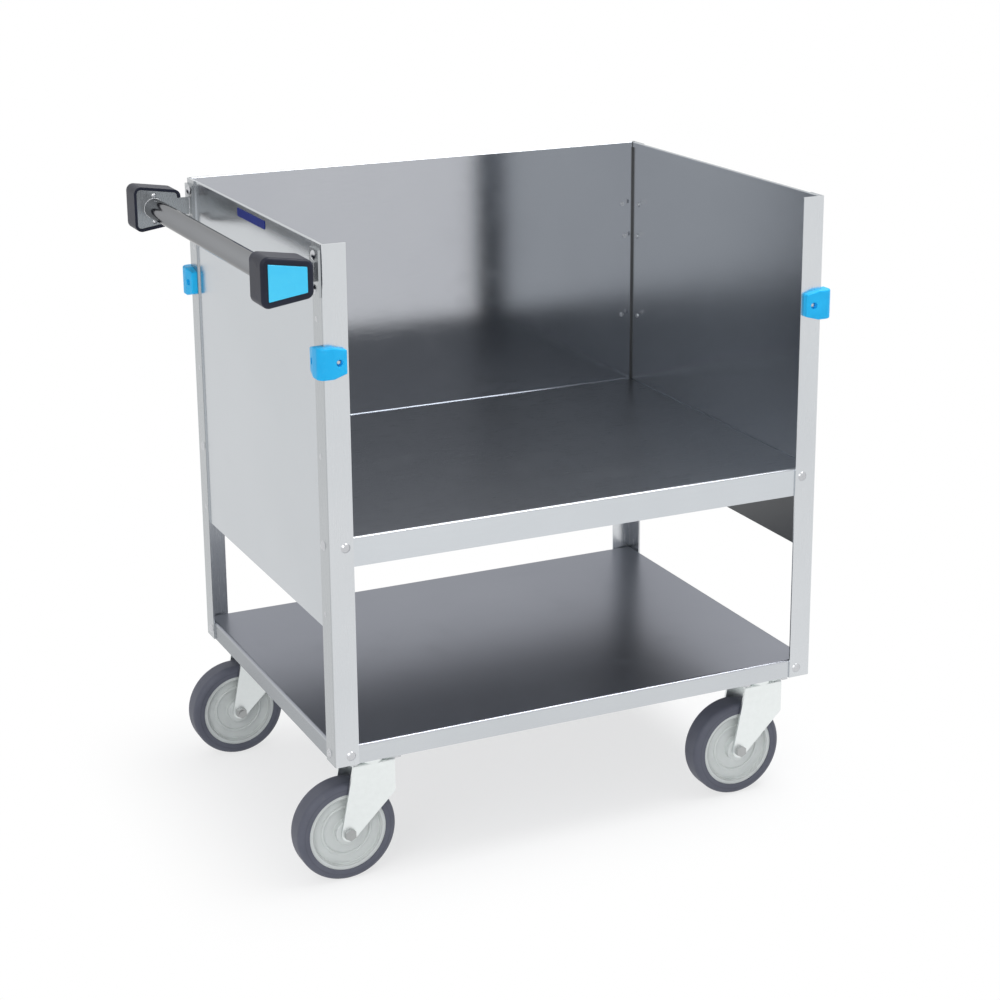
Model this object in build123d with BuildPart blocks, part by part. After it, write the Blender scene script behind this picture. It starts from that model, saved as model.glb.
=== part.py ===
from build123d import *
import os

os.makedirs("parts", exist_ok=True)

# Dish truck in millimetres: floor at z = 0, +Z up, handle end at -X, open front at -Y.

# Body, over the outsides of the corner posts
body_length = 660.0
body_depth = 490.0
post_length = 631.0
caster_height = 162.0

# Corner posts, bent from sheet to an angle
post_flange = 30.0
post_thickness = 2.0
post_inside_radius = 1.0

# Shelves, pressed trays with the lip turned down
shelf_thickness = 1.5
shelf_edge_radius = 4.0
shelf_corner_radius = 5.0
upper_deck_rise = 284.0
upper_lip = 36.0
lower_lip = 24.0

# Panels from the post tops to below the upper deck, with a hem folded inwards along the top
panel_thickness = 1.2
panel_skirt = 116.0
hem_flap = 6.0
hem_gap = 0.8
hem_end_gap = 0.5
hem_room = 1.0

# Hat channels welded under the decks: stiffeners above, caster channels below
hat_flange = 10.0
hat_bend_radius = 1.0
stiffener_width = 40.0
stiffener_height = 20.0
stiffener_thickness = 1.5
stiffener_spacing = 200.0
stiffener_end_gap = 14.0
channel_width = 80.0
channel_thickness = 2.0
channel_end_gap = 7.0
channel_side_gap = 3.0

# Shelf and handle bolts, with their nuts
bolt_radius = 3.0
bolt_head_radius = 6.0
bolt_head_height = 3.0
bolt_tip = 1.0
nut_flats = 10.0
nut_height = 5.0
bolt_clearance = 0.2
thread_clearance = 0.05
bolt_edge = 10.0
upper_bolt_drop = 11.0
lower_bolt_drop = 12.0

# Panel rivets
rivet_radius = 2.0
rivet_head_radius = 3.4
rivet_head_height = 1.1
rivet_tail_radius = 3.0
rivet_tail_height = 1.2
rivet_clearance = 0.1
rivet_end_distance = 20.0

# Blue bumper round the corner of each post
leg_bumper_thickness = 10.0
leg_bumper_wing = 26.0
leg_bumper_tip = 7.0
leg_bumper_height = 37.0
leg_bumper_tip_height = 28.0
leg_bumper_flat = 9.0
leg_bumper_corner_radius = 9.0
leg_bumper_edge_radius = 2.0
leg_bumper_drop = 135.0
leg_bumper_seat = 5.0
leg_bumper_bore = 4.2
leg_bumper_screw_line = 16.0

# Push handle: tube between two steel arms, each end covered by a moulded cap
handle_standoff = 50.0
handle_tube_radius = 13.0
handle_tube_wall = 1.5
arm_thickness = 3.0
arm_inset = 15.0
arm_neck = 22.0
arm_room = 0.5
arm_base_margin = 1.0
arm_bolt_room = 2.0
cap_gap = 15.0
cap_overhang = 19.0
cap_rim = 2.0
cap_wall = 3.5
cap_slope = 0.3
cap_corner_radius = 9.0
cap_edge_radius = 4.0
cap_boss_radius = 4.6
insert_margin = 8.0
insert_thickness = 2.5
insert_proud = 1.0
insert_clearance = 0.2
insert_edge_radius = 0.6
cap_screw_radius = 2.0
cap_screw_head_radius = 3.2
cap_screw_head_height = 1.8
cap_screw_depth = 12.0
cap_screw_room = 0.8
cap_screw_edge = 2.3

# Swivel casters
wheel_radius = 63.5
caster_inset_y = 41.0
caster_trail = 34.0
plate_length = 76.0
plate_width = 60.0
plate_thickness = 3.0
plate_corner_radius = 6.0
plate_bolt_x = 56.0
plate_bolt_y = 44.0
plate_bolt_radius = 4.0
plate_bolt_flats = 13.0
plate_bolt_head = 4.5
plate_nut_height = 6.5
race_radius = 22.0
race_height = 4.0
swivel_gap = 1.0
ball_radius = 2.5
ball_ring_radius = 16.0
ball_count = 16
ball_clearance = 0.3
kingpin_radius = 6.0
kingpin_head_radius = 9.0
kingpin_nut_flats = 17.0
kingpin_nut_height = 8.0
kingpin_tip = 1.0
running_clearance = 0.05
nut_gap = 0.3
crown_thickness = 6.0
fork_thickness = 3.0
fork_length = 54.0
fork_shoulder = 42.0
fork_tip_radius = 10.0
fork_bend_radius = 3.0
fork_room = 1.5
tyre_width = 34.0
tyre_depth = 14.0
tyre_shoulder_radius = 8.0
tyre_seat_gap = 0.05
rim_thickness = 6.0
rim_inset = 1.5
web_thickness = 20.0
bead_radius = 31.0
bead_size = 2.0
hub_radius = 16.0
hub_side_gap = 0.5
core_fillet_radius = 1.2
axle_radius = 4.0
axle_head_flats = 13.0
axle_head_height = 5.0
axle_nut_height = 6.5
axle_tip = 1.5
sleeve_radius = 8.0

# Handle and cap: the arm's end plate holds the tube, with a screw above and below it
nut_corner = nut_flats / 3**0.5
hem_bend = (panel_thickness + hem_gap) / 2
hem_depth = 2 * panel_thickness + hem_gap
hem_crown = hem_bend + panel_thickness / 2
arm_bolt_spacing = arm_neck + 2 * (bolt_head_radius + arm_bolt_room)
arm_base_height = arm_bolt_spacing + 2 * (bolt_head_radius + arm_bolt_room)
handle_drop = hem_crown + hem_flap + hem_room + nut_corner + arm_bolt_spacing / 2
cap_screw_offset = handle_tube_radius + cap_screw_head_radius + cap_screw_room
arm_end_half = cap_screw_offset + cap_screw_head_radius + cap_screw_edge
cap_half = arm_end_half + arm_room + cap_wall
handle_reach = handle_standoff + cap_half
cap_outer_height = 2 * cap_half + cap_slope * cap_half
cap_inner_height = 2 * cap_half - cap_slope * (handle_standoff - cap_gap)
cap_depth = cap_overhang + arm_inset + arm_thickness + cap_rim

# Levels and faces that follow from the sizes above
post_foot = caster_height
post_top = post_foot + post_length
upper_deck = post_foot + upper_deck_rise
lower_deck = post_foot + lower_lip
panel_bottom = upper_deck - panel_skirt
body_x = (handle_reach - leg_bumper_thickness) / 2
half_length = body_length / 2
half_depth = body_depth / 2
left_face = body_x - half_length
panelled_inset = post_thickness + panel_thickness
bolt_line = post_flange - bolt_edge
upper_bolt_z = upper_deck - upper_bolt_drop
lower_bolt_z = lower_deck - lower_bolt_drop
leg_bumper_z = post_top - leg_bumper_drop
handle_z = post_top - handle_drop
handle_x = left_face - handle_standoff
arm_line = arm_inset + arm_thickness / 2
arm_inner = half_depth - arm_inset - arm_thickness
caster_inset_x = post_thickness + shelf_thickness + channel_side_gap + channel_width / 2 + hat_flange
hem_base = post_top - hem_crown

# Panel rivets stand clear of the upper deck, the bumpers and the handle arms
leg_bumper_bottom = leg_bumper_z - leg_bumper_height / 2
leg_bumper_top = leg_bumper_z + leg_bumper_height / 2
rivet_heights = [
    panel_bottom + rivet_end_distance,
    (upper_deck + leg_bumper_bottom) / 2,
    (leg_bumper_top + handle_z - arm_base_height / 2) / 2,
]

# Corners of the truck: -1 or 1 along X, then along Y
corners = {
    "front_left": (-1, -1),
    "front_right": (1, -1),
    "rear_left": (-1, 1),
    "rear_right": (1, 1),
}
front_corners = [corners["front_left"], corners["front_right"]]
rear_corners = [corners["rear_left"], corners["rear_right"]]
left_corners = [corners["front_left"], corners["rear_left"]]
all_corners = front_corners + rear_corners


def end_place(corner, line, height, proud=0.0):
    # A spot on the end flange of a post, with its Z axis pointing out of the truck
    side, end = corner
    spot = (body_x + side * (half_length + proud), end * (half_depth - line), height)
    return Plane(origin=spot, x_dir=(0, 0, 1), z_dir=(side, 0, 0)).location


def face_place(corner, line, height):
    # A spot on the front or back flange of a post, with its Z axis pointing out of the truck
    side, end = corner
    spot = (body_x + side * (half_length - line), end * half_depth, height)
    return Plane(origin=spot, x_dir=(0, 0, 1), z_dir=(0, end, 0)).location


# Spots where the frame is fastened
front_shelf_spots = [face_place(c, bolt_line, upper_bolt_z) for c in front_corners]
lower_shelf_spots = [face_place(c, bolt_line, lower_bolt_z) for c in all_corners]
lower_shelf_spots += [end_place(c, bolt_line, lower_bolt_z) for c in all_corners]
panelled_shelf_spots = [face_place(c, bolt_line, upper_bolt_z) for c in rear_corners]
panelled_shelf_spots += [end_place(c, bolt_line, upper_bolt_z) for c in all_corners]
shelf_spots = front_shelf_spots + lower_shelf_spots + panelled_shelf_spots
rivet_spots = [face_place(c, bolt_line, z) for c in rear_corners for z in rivet_heights]
rivet_spots += [end_place(c, bolt_line, z) for c in all_corners for z in rivet_heights]
open_bumper_spots = [face_place(c, leg_bumper_screw_line, leg_bumper_z) for c in front_corners]
panelled_bumper_spots = [face_place(c, leg_bumper_screw_line, leg_bumper_z) for c in rear_corners]
panelled_bumper_spots += [end_place(c, leg_bumper_screw_line, leg_bumper_z) for c in all_corners]
bumper_spots = open_bumper_spots + panelled_bumper_spots
arm_bolt_heights = [handle_z - arm_bolt_spacing / 2, handle_z + arm_bolt_spacing / 2]
arm_spots = [end_place(c, arm_line, z, arm_thickness) for c in left_corners for z in arm_bolt_heights]

# Grips of the fasteners: what each one passes through
open_shelf_grip = post_thickness + shelf_thickness
panelled_shelf_grip = post_thickness + panel_thickness + shelf_thickness
rivet_grip = post_thickness + panel_thickness
arm_grip = arm_thickness + post_thickness + panel_thickness
drill_depth = arm_grip + nut_height


def drill(spots, radius, depth):
    with Locations(*spots):
        Hole(radius, depth)


def hexagon(flats):
    RegularPolygon(flats / 2, 6, major_radius=False)


def bolt_with_nut(grip):
    # Domed bolt seated at z = 0 and pointing down, with a hexagon nut at the end of its grip
    tip = -grip - nut_height - bolt_tip
    with BuildPart() as bolt:
        with BuildSketch(Plane.XZ):
            with BuildLine():
                TangentArc((0, bolt_head_height), (bolt_head_radius, 0), tangent=(1, 0))
                Polyline(
                    (bolt_head_radius, 0),
                    (bolt_radius, 0),
                    (bolt_radius, tip),
                    (0, tip),
                    (0, bolt_head_height),
                )
            make_face()
        revolve(axis=Axis.Z)
        with BuildSketch(Plane.XY.offset(-grip)):
            hexagon(nut_flats)
            Circle(bolt_radius + thread_clearance, mode=Mode.SUBTRACT)
        extrude(amount=-nut_height)
    return bolt.part


def rivet(grip):
    # Domed rivet seated at z = 0, with its upset tail at the end of its grip
    with BuildPart() as pin:
        with BuildSketch(Plane.XZ):
            with BuildLine():
                TangentArc((0, rivet_head_height), (rivet_head_radius, 0), tangent=(1, 0))
                Polyline(
                    (rivet_head_radius, 0),
                    (rivet_radius, 0),
                    (rivet_radius, -grip),
                    (rivet_tail_radius, -grip),
                    (rivet_tail_radius, -grip - rivet_tail_height),
                    (0, -grip - rivet_tail_height),
                    (0, rivet_head_height),
                )
            make_face()
        revolve(axis=Axis.Z)
    return pin.part


def hat_profile(width, height, thickness):
    # Hat section with its flanges against a deck at v = 0
    side = (width - thickness) / 2
    top = -thickness / 2
    bottom = thickness / 2 - height
    with BuildSketch() as hat:
        with BuildLine():
            FilletPolyline(
                (-side - hat_flange, top),
                (-side, top),
                (-side, bottom),
                (side, bottom),
                (side, top),
                (side + hat_flange, top),
                radius=hat_bend_radius + thickness / 2,
            )
        trace(line_width=thickness)
    return hat.sketch


# Corner posts
def corner_post(corner):
    side, end = corner
    outside_x = body_x + side * (half_length - post_thickness / 2)
    outside_y = end * (half_depth - post_thickness / 2)
    inside_x = body_x + side * (half_length - post_flange)
    inside_y = end * (half_depth - post_flange)
    with BuildPart() as post:
        with BuildSketch(Plane.XY.offset(post_foot)):
            with BuildLine():
                FilletPolyline(
                    (inside_x, outside_y),
                    (outside_x, outside_y),
                    (outside_x, inside_y),
                    radius=post_inside_radius + post_thickness / 2,
                )
            trace(line_width=post_thickness)
        extrude(amount=post_length)
        drill(shelf_spots + arm_spots, bolt_radius + bolt_clearance, drill_depth)
        drill(rivet_spots + bumper_spots, rivet_radius + rivet_clearance, drill_depth)
    return post.part


for corner_name, corner in corners.items():
    post = corner_post(corner)
    post.label = f"{corner_name}_post"
    export_step(post, f"parts/{corner_name}_post.step")

# Shelves: the upper one sits inside the panels at the ends and back, the lower one inside the posts
def shelf_tray(deck, lip, end_inset, back_inset):
    front = -half_depth + post_thickness
    back = half_depth - back_inset
    with BuildPart() as tray:
        with BuildSketch(Plane.XY.offset(deck - lip)):
            with Locations((body_x, (front + back) / 2)):
                RectangleRounded(body_length - 2 * end_inset, back - front, shelf_corner_radius)
        extrude(amount=lip)
        fillet(tray.edges().group_by(Axis.Z)[-1], radius=shelf_edge_radius)
        offset(amount=-shelf_thickness, openings=tray.faces().sort_by(Axis.Z)[0])
        drill(shelf_spots, bolt_radius + bolt_clearance, drill_depth)
    return tray.part


upper_shelf = shelf_tray(upper_deck, upper_lip, panelled_inset, panelled_inset)
upper_shelf.label = "upper_shelf"
export_step(upper_shelf, "parts/upper_shelf.step")

lower_shelf = shelf_tray(lower_deck, lower_lip, post_thickness, post_thickness)
lower_shelf.label = "lower_shelf"
export_step(lower_shelf, "parts/lower_shelf.step")

# Stiffeners under the upper deck, running from end to end
stiffener_half = half_length - panelled_inset - shelf_thickness - stiffener_end_gap
with BuildPart() as upper_shelf_stiffeners:
    for row in (-1, 1):
        stiffener_origin = (body_x, row * stiffener_spacing / 2, upper_deck - shelf_thickness)
        with BuildSketch(Plane(stiffener_origin, x_dir=(0, 1, 0), z_dir=(1, 0, 0))):
            add(hat_profile(stiffener_width, stiffener_height, stiffener_thickness))
        extrude(amount=stiffener_half, both=True)
upper_shelf_stiffeners.part.label = "upper_shelf_stiffeners"
export_step(upper_shelf_stiffeners.part, "parts/upper_shelf_stiffeners.step")

# Channels under the lower deck, running from front to back over each pair of casters
kingpin_spots = {
    name: (body_x + side * (half_length - caster_inset_x), end * (half_depth - caster_inset_y))
    for name, (side, end) in corners.items()
}
channel_height = lower_lip - shelf_thickness
channel_half = half_depth - post_thickness - shelf_thickness - channel_end_gap
channel_centres = [body_x + side * (half_length - caster_inset_x) for side in (-1, 1)]
plate_bolt_grip = plate_thickness + channel_thickness
plate_bolt_spots = [
    (x + step_x * plate_bolt_x / 2, y + step_y * plate_bolt_y / 2)
    for x, y in kingpin_spots.values()
    for step_x in (-1, 1)
    for step_y in (-1, 1)
]
with BuildPart() as caster_channels:
    for channel_x in channel_centres:
        channel_origin = (channel_x, 0, lower_deck - shelf_thickness)
        with BuildSketch(Plane(channel_origin, x_dir=(1, 0, 0), z_dir=(0, -1, 0))):
            add(hat_profile(channel_width, channel_height, channel_thickness))
        extrude(amount=channel_half, both=True)
    with Locations(*[(x, y, post_foot) for x, y in plate_bolt_spots]):
        Hole(plate_bolt_radius + bolt_clearance, plate_bolt_grip)
caster_channels.part.label = "caster_channels"
export_step(caster_channels.part, "parts/caster_channels.step")

# Panels: the ends run the full depth inside the posts, and the back fits between them
def hemmed_profile():
    # Section of a panel: u inwards from its outer face, v up from the floor
    middle = panel_thickness / 2
    with BuildSketch() as section:
        with BuildLine():
            Line((middle, panel_bottom), (middle, hem_base))
            TangentArc((middle, hem_base), (middle + 2 * hem_bend, hem_base), tangent=(0, 1))
            Line((middle + 2 * hem_bend, hem_base), (middle + 2 * hem_bend, hem_base - hem_flap))
        trace(line_width=panel_thickness)
    return section.sketch


def end_panel(side):
    front = -half_depth + post_thickness + post_inside_radius
    hem_back = half_depth - post_thickness - hem_depth - hem_end_gap
    back = half_depth - post_thickness - post_inside_radius
    outer_x = body_x + side * (half_length - post_thickness)
    # For either end, u points into the truck and v points up
    section_plane = Plane((outer_x, front, 0), x_dir=(-side, 0, 0), z_dir=(0, side, 0))
    sheet_plane = Plane((outer_x, hem_back, 0), x_dir=(-side, 0, 0), z_dir=(0, side, 0))
    with BuildPart() as panel:
        with BuildSketch(section_plane):
            add(hemmed_profile())
        extrude(amount=side * (hem_back - front))
        with BuildSketch(sheet_plane):
            with Locations((0, panel_bottom)):
                Rectangle(panel_thickness, hem_base - panel_bottom, align=(Align.MIN, Align.MIN))
        extrude(amount=side * (back - hem_back))
        drill(panelled_shelf_spots + arm_spots, bolt_radius + bolt_clearance, drill_depth)
        drill(rivet_spots + panelled_bumper_spots, rivet_radius + rivet_clearance, drill_depth)
    return panel.part


left_end_panel = end_panel(-1)
left_end_panel.label = "left_end_panel"
export_step(left_end_panel, "parts/left_end_panel.step")

right_end_panel = end_panel(1)
right_end_panel.label = "right_end_panel"
export_step(right_end_panel, "parts/right_end_panel.step")

back_origin = (body_x, half_depth - post_thickness, 0)
with BuildPart() as back_panel:
    with BuildSketch(Plane(back_origin, x_dir=(0, -1, 0), z_dir=(-1, 0, 0))):
        add(hemmed_profile())
    extrude(amount=half_length - panelled_inset, both=True)
    drill(panelled_shelf_spots, bolt_radius + bolt_clearance, drill_depth)
    drill(rivet_spots + panelled_bumper_spots, rivet_radius + rivet_clearance, drill_depth)
back_panel.part.label = "back_panel"
export_step(back_panel.part, "parts/back_panel.step")

# Fasteners of the frame
open_shelf_bolt = bolt_with_nut(open_shelf_grip)
panelled_shelf_bolt = bolt_with_nut(panelled_shelf_grip)
with BuildPart() as shelf_bolts:
    with Locations(*front_shelf_spots, *lower_shelf_spots):
        add(open_shelf_bolt)
    with Locations(*panelled_shelf_spots):
        add(panelled_shelf_bolt)
shelf_bolts.part.label = "shelf_bolts"
export_step(shelf_bolts.part, "parts/shelf_bolts.step")

panel_rivet = rivet(rivet_grip)
with BuildPart() as panel_rivets:
    with Locations(*rivet_spots):
        add(panel_rivet)
panel_rivets.part.label = "panel_rivets"
export_step(panel_rivets.part, "parts/panel_rivets.step")


# Leg bumpers: a thick corner with two wings that thin towards their tips
def wing_profile():
    # Side view of a wing: u in from the corner of the post, v up from the middle of the bumper
    with BuildSketch() as wing:
        with BuildLine():
            Polyline(
                (-leg_bumper_thickness, -leg_bumper_height / 2),
                (leg_bumper_flat, -leg_bumper_height / 2),
                (leg_bumper_wing, -leg_bumper_tip_height / 2),
                (leg_bumper_wing, leg_bumper_tip_height / 2),
                (leg_bumper_flat, leg_bumper_height / 2),
                (-leg_bumper_thickness, leg_bumper_height / 2),
                close=True,
            )
        make_face()
    return wing.sketch


def leg_bumper(corner):
    side, end = corner
    corner_x = body_x + side * half_length
    corner_y = end * half_depth
    outer_x = corner_x + side * leg_bumper_thickness
    outer_y = corner_y + end * leg_bumper_thickness
    span = leg_bumper_thickness + leg_bumper_wing
    across_plane = Plane((corner_x, outer_y, leg_bumper_z), x_dir=(-side, 0, 0), z_dir=(0, side, 0))
    along_plane = Plane((outer_x, corner_y, leg_bumper_z), x_dir=(0, -end, 0), z_dir=(-end, 0, 0))
    with BuildPart() as bumper:
        with BuildSketch(Plane.XY.offset(leg_bumper_z - leg_bumper_height / 2)) as plan:
            with BuildLine():
                Polyline(
                    (corner_x, corner_y),
                    (corner_x - side * leg_bumper_wing, corner_y),
                    (corner_x - side * leg_bumper_wing, corner_y + end * leg_bumper_tip),
                    (corner_x - side * leg_bumper_flat, outer_y),
                    (outer_x, outer_y),
                    (outer_x, corner_y - end * leg_bumper_flat),
                    (corner_x + side * leg_bumper_tip, corner_y - end * leg_bumper_wing),
                    (corner_x, corner_y - end * leg_bumper_wing),
                    close=True,
                )
            make_face()
            fillet(plan.vertices().sort_by_distance((outer_x, outer_y))[0], radius=leg_bumper_corner_radius)
        extrude(amount=leg_bumper_height)
        with BuildSketch(across_plane):
            add(wing_profile())
        extrude(amount=-side * end * span, mode=Mode.INTERSECT)
        with BuildSketch(along_plane):
            add(wing_profile())
        extrude(amount=side * end * span, mode=Mode.INTERSECT)
        post_side = bumper.faces().sort_by_distance((corner_x, corner_y, leg_bumper_z))[:2]
        fillet(bumper.edges() - post_side.edges(), radius=leg_bumper_edge_radius)
        for spot in bumper_spots:
            with Locations(spot * Location((0, 0, leg_bumper_thickness))):
                CounterBoreHole(
                    rivet_radius + rivet_clearance,
                    leg_bumper_bore,
                    leg_bumper_thickness - leg_bumper_seat,
                    leg_bumper_thickness + post_thickness,
                )
    return bumper.part


for corner_name, corner in corners.items():
    bumper = leg_bumper(corner)
    bumper.label = f"{corner_name}_leg_bumper"
    export_step(bumper, f"parts/{corner_name}_leg_bumper.step")

open_bumper_screw = rivet(leg_bumper_seat + post_thickness)
panelled_bumper_screw = rivet(leg_bumper_seat + rivet_grip)
bumper_seat = Location((0, 0, leg_bumper_seat))
with BuildPart() as leg_bumper_screws:
    with Locations(*[spot * bumper_seat for spot in open_bumper_spots]):
        add(open_bumper_screw)
    with Locations(*[spot * bumper_seat for spot in panelled_bumper_spots]):
        add(panelled_bumper_screw)
leg_bumper_screws.part.label = "leg_bumper_screws"
export_step(leg_bumper_screws.part, "parts/leg_bumper_screws.step")

# Handle tube, welded between the arms
with BuildPart() as handle_tube:
    with BuildSketch(Plane.XZ):
        with Locations((handle_x, handle_z)):
            Circle(handle_tube_radius)
            Circle(handle_tube_radius - handle_tube_wall, mode=Mode.SUBTRACT)
    extrude(amount=arm_inner, both=True)
handle_tube.part.label = "handle_tube"
export_step(handle_tube.part, "parts/handle_tube.step")

# Outline of a handle cap, taller at its outer end, and the same outline moved inwards by a margin
def cap_profile():
    outer_x = left_face - handle_reach
    inner_x = left_face - cap_gap
    with BuildSketch() as outline:
        with BuildLine():
            Polyline(
                (outer_x, handle_z - cap_outer_height / 2),
                (inner_x, handle_z - cap_inner_height / 2),
                (inner_x, handle_z + cap_inner_height / 2),
                (outer_x, handle_z + cap_outer_height / 2),
                close=True,
            )
        make_face()
        fillet(outline.vertices(), radius=cap_corner_radius)
    return outline.sketch


def inset_profile(margin):
    with BuildSketch() as outline:
        add(cap_profile())
        offset(amount=-margin, mode=Mode.REPLACE)
    return outline.sketch


# Handle arms: a base plate bolted to the post and a plate that closes the cap and carries the tube
cap_screw_heights = [handle_z - cap_screw_offset, handle_z + cap_screw_offset]


def inward_from(end, line):
    # Upright plane across the truck at a distance in from its front or back face
    return Plane.XZ.offset(-end * (half_depth - line))


def handle_arm(end):
    base_y = end * (half_depth - post_flange / 2)
    with BuildPart() as arm:
        with BuildSketch(Plane.YZ.offset(left_face)):
            with Locations((base_y, handle_z)):
                Rectangle(post_flange - 2 * arm_base_margin, arm_base_height)
        extrude(amount=-arm_thickness)
        with BuildSketch(inward_from(end, arm_inset)):
            add(inset_profile(cap_wall + arm_room))
            with Locations((left_face, handle_z)):
                Rectangle(handle_standoff, arm_neck, align=(Align.MAX, Align.CENTER))
        extrude(amount=end * arm_thickness)
        drill(arm_spots, bolt_radius + bolt_clearance, arm_thickness)
        with BuildSketch(inward_from(end, arm_inset)):
            with Locations(*[(handle_x, z) for z in cap_screw_heights]):
                Circle(cap_screw_radius + bolt_clearance)
        extrude(amount=end * arm_thickness, mode=Mode.SUBTRACT)
    return arm.part


# Handle caps: hollow bumpers open towards the arm, with a shallow pocket for the insert
def handle_cap(end):
    pocket_depth = insert_thickness - insert_proud
    neck_slot = arm_neck + 2 * arm_room
    with BuildPart() as cap:
        with BuildSketch(inward_from(end, -cap_overhang)):
            add(cap_profile())
        extrude(amount=end * cap_depth)
        faces = cap.faces().sort_by(Axis.Y, reverse=end > 0)
        outer_face, open_face = faces[0], faces[-1]
        fillet(outer_face.edges(), radius=cap_edge_radius)
        offset(amount=-cap_wall, openings=open_face)
        with BuildSketch(inward_from(end, -cap_overhang + cap_wall)):
            with Locations(*[(handle_x, z) for z in cap_screw_heights]):
                Circle(cap_boss_radius)
        extrude(amount=end * (cap_overhang - cap_wall + arm_inset))
        with BuildSketch(inward_from(end, arm_inset)):
            with Locations(*[(handle_x, z) for z in cap_screw_heights]):
                Circle(cap_screw_radius + thread_clearance)
        extrude(amount=-end * (cap_screw_depth + arm_thickness), mode=Mode.SUBTRACT)
        with BuildSketch(inward_from(end, arm_inset - arm_room)):
            with Locations((left_face - cap_gap, handle_z)):
                Rectangle(2 * (cap_wall + arm_room), neck_slot)
        extrude(amount=end * (arm_room + arm_thickness + cap_rim), mode=Mode.SUBTRACT)
        with BuildSketch(inward_from(end, -cap_overhang)):
            add(inset_profile(insert_margin - insert_clearance))
        extrude(amount=end * pocket_depth, mode=Mode.SUBTRACT)
    return cap.part


def handle_insert(end):
    with BuildPart() as insert:
        with BuildSketch(inward_from(end, -cap_overhang - insert_proud)):
            add(inset_profile(insert_margin))
        extrude(amount=end * insert_thickness)
        outer_face = insert.faces().sort_by(Axis.Y, reverse=end > 0)[0]
        fillet(outer_face.edges(), radius=insert_edge_radius)
    return insert.part


for end_name, end in (("front", -1), ("rear", 1)):
    arm = handle_arm(end)
    arm.label = f"{end_name}_handle_arm"
    export_step(arm, f"parts/{end_name}_handle_arm.step")
    cap = handle_cap(end)
    cap.label = f"{end_name}_handle_cap"
    export_step(cap, f"parts/{end_name}_handle_cap.step")
    insert = handle_insert(end)
    insert.label = f"{end_name}_handle_insert"
    export_step(insert, f"parts/{end_name}_handle_insert.step")

arm_bolt = bolt_with_nut(arm_grip)
with BuildPart() as handle_bolts:
    with Locations(*arm_spots):
        add(arm_bolt)
handle_bolts.part.label = "handle_bolts"
export_step(handle_bolts.part, "parts/handle_bolts.step")

cap_screw_length = arm_thickness + cap_screw_depth
with BuildPart() as cap_screw:
    with BuildSketch(Plane.XZ):
        with BuildLine():
            TangentArc((0, cap_screw_head_height), (cap_screw_head_radius, 0), tangent=(1, 0))
            Polyline(
                (cap_screw_head_radius, 0),
                (cap_screw_radius, 0),
                (cap_screw_radius, -cap_screw_length),
                (0, -cap_screw_length),
                (0, cap_screw_head_height),
            )
        make_face()
    revolve(axis=Axis.Z)

with BuildPart() as handle_cap_screws:
    for end in (-1, 1):
        for z in cap_screw_heights:
            seat = Plane((handle_x, end * arm_inner, z), z_dir=(0, -end, 0))
            with Locations(seat.location):
                add(cap_screw.part)
handle_cap_screws.part.label = "handle_cap_screws"
export_step(handle_cap_screws.part, "parts/handle_cap_screws.step")

# Bolts that hold the caster plates to the channels, head below and nut inside the channel
plate_bottom = caster_height - plate_thickness
channel_web_top = caster_height + channel_thickness
with BuildPart() as caster_plate_bolts:
    with BuildSketch(Plane.XY.offset(plate_bottom)):
        with Locations(*plate_bolt_spots):
            hexagon(plate_bolt_flats)
    extrude(amount=-plate_bolt_head)
    with BuildSketch(Plane.XY.offset(plate_bottom)):
        with Locations(*plate_bolt_spots):
            Circle(plate_bolt_radius)
    extrude(amount=plate_bolt_grip + plate_nut_height + bolt_tip)
    with BuildSketch(Plane.XY.offset(channel_web_top)):
        with Locations(*plate_bolt_spots):
            hexagon(plate_bolt_flats)
            Circle(plate_bolt_radius + thread_clearance, mode=Mode.SUBTRACT)
    extrude(amount=plate_nut_height)
caster_plate_bolts.part.label = "caster_plate_bolts"
export_step(caster_plate_bolts.part, "parts/caster_plate_bolts.step")

# Casters: levels from the plate down to the axle
race_bottom = plate_bottom - race_height
crown_top = race_bottom - swivel_gap
crown_bottom = crown_top - crown_thickness
ball_level = race_bottom - swivel_gap / 2
kingpin_nut_top = crown_bottom - nut_gap
hub_half = tyre_width / 2 + fork_room
fork_inner = hub_half + hub_side_gap
fork_outer = fork_inner + fork_thickness
core_radius = wheel_radius - tyre_depth
rim_half = tyre_width / 2 - rim_inset


def caster_plate(x, y):
    with BuildPart() as plate:
        with BuildSketch(Plane.XY.offset(plate_bottom)):
            with Locations((x, y)):
                RectangleRounded(plate_length, plate_width, plate_corner_radius)
        extrude(amount=plate_thickness)
        with BuildSketch(Plane.XY.offset(race_bottom)):
            with Locations((x, y)):
                Circle(race_radius)
        extrude(amount=race_height)
        with Locations((x, y, ball_level)):
            Torus(ball_ring_radius, ball_radius + ball_clearance, mode=Mode.SUBTRACT)
        with Locations(*[(bolt_x, bolt_y, caster_height) for bolt_x, bolt_y in plate_bolt_spots]):
            Hole(plate_bolt_radius + bolt_clearance, plate_bolt_grip)
        with Locations((x, y, caster_height)):
            Hole(kingpin_radius + thread_clearance, plate_thickness + race_height)
        with BuildSketch(Plane.XY.offset(caster_height)):
            with Locations((x, y)):
                Circle(kingpin_head_radius + thread_clearance)
        with BuildSketch(Plane.XY.offset(plate_bottom)):
            with Locations((x, y)):
                Circle(kingpin_radius + thread_clearance)
        loft(mode=Mode.SUBTRACT)
    return plate.part


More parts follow.
